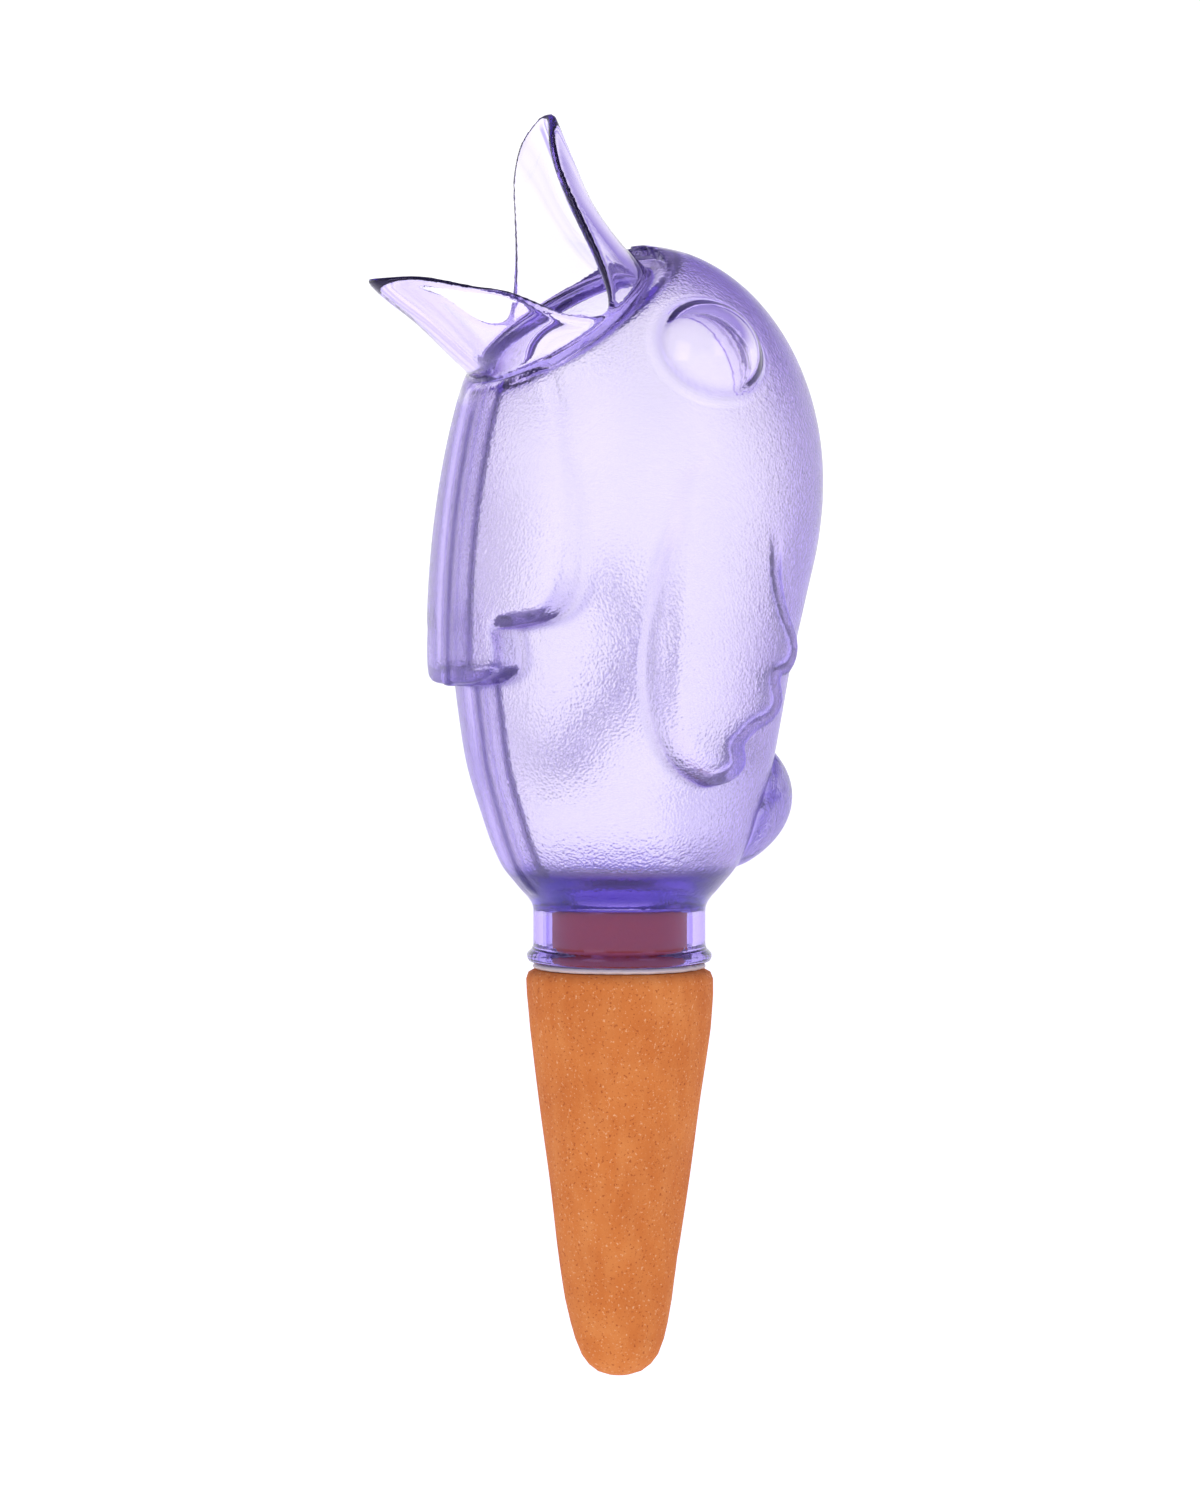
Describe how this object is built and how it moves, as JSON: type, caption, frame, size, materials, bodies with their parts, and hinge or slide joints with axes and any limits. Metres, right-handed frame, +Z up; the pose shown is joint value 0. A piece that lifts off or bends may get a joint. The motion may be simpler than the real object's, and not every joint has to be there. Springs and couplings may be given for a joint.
{
  "type": "self watering spike",
  "caption": "Clear hollow bird with an open beak for filling, on a porous clay cone that lets the water out into a pot's soil.",
  "frame": {"origin": "on the clay cone's axis, level with its shoulder, which rests on the soil", "axes": "+Z up along the cone's axis out of the soil, -Y the way the bird faces, +X the bird's left"},
  "size_m": [0.0608, 0.0751, 0.1952],
  "materials": {
    "clear_plastic": "violet tinted clear polystyrene, pebbled on the body and polished on beak, eyes and neck",
    "terracotta": "unglazed fired clay, porous, matt and slightly mottled",
    "sealant": "whitish elastic sealant"
  },
  "bodies": {
    "root": {"left_shell": "clear_plastic", "right_shell": "clear_plastic", "clay_cone": "terracotta", "sealant": "sealant"}
  },
  "joints": []
}
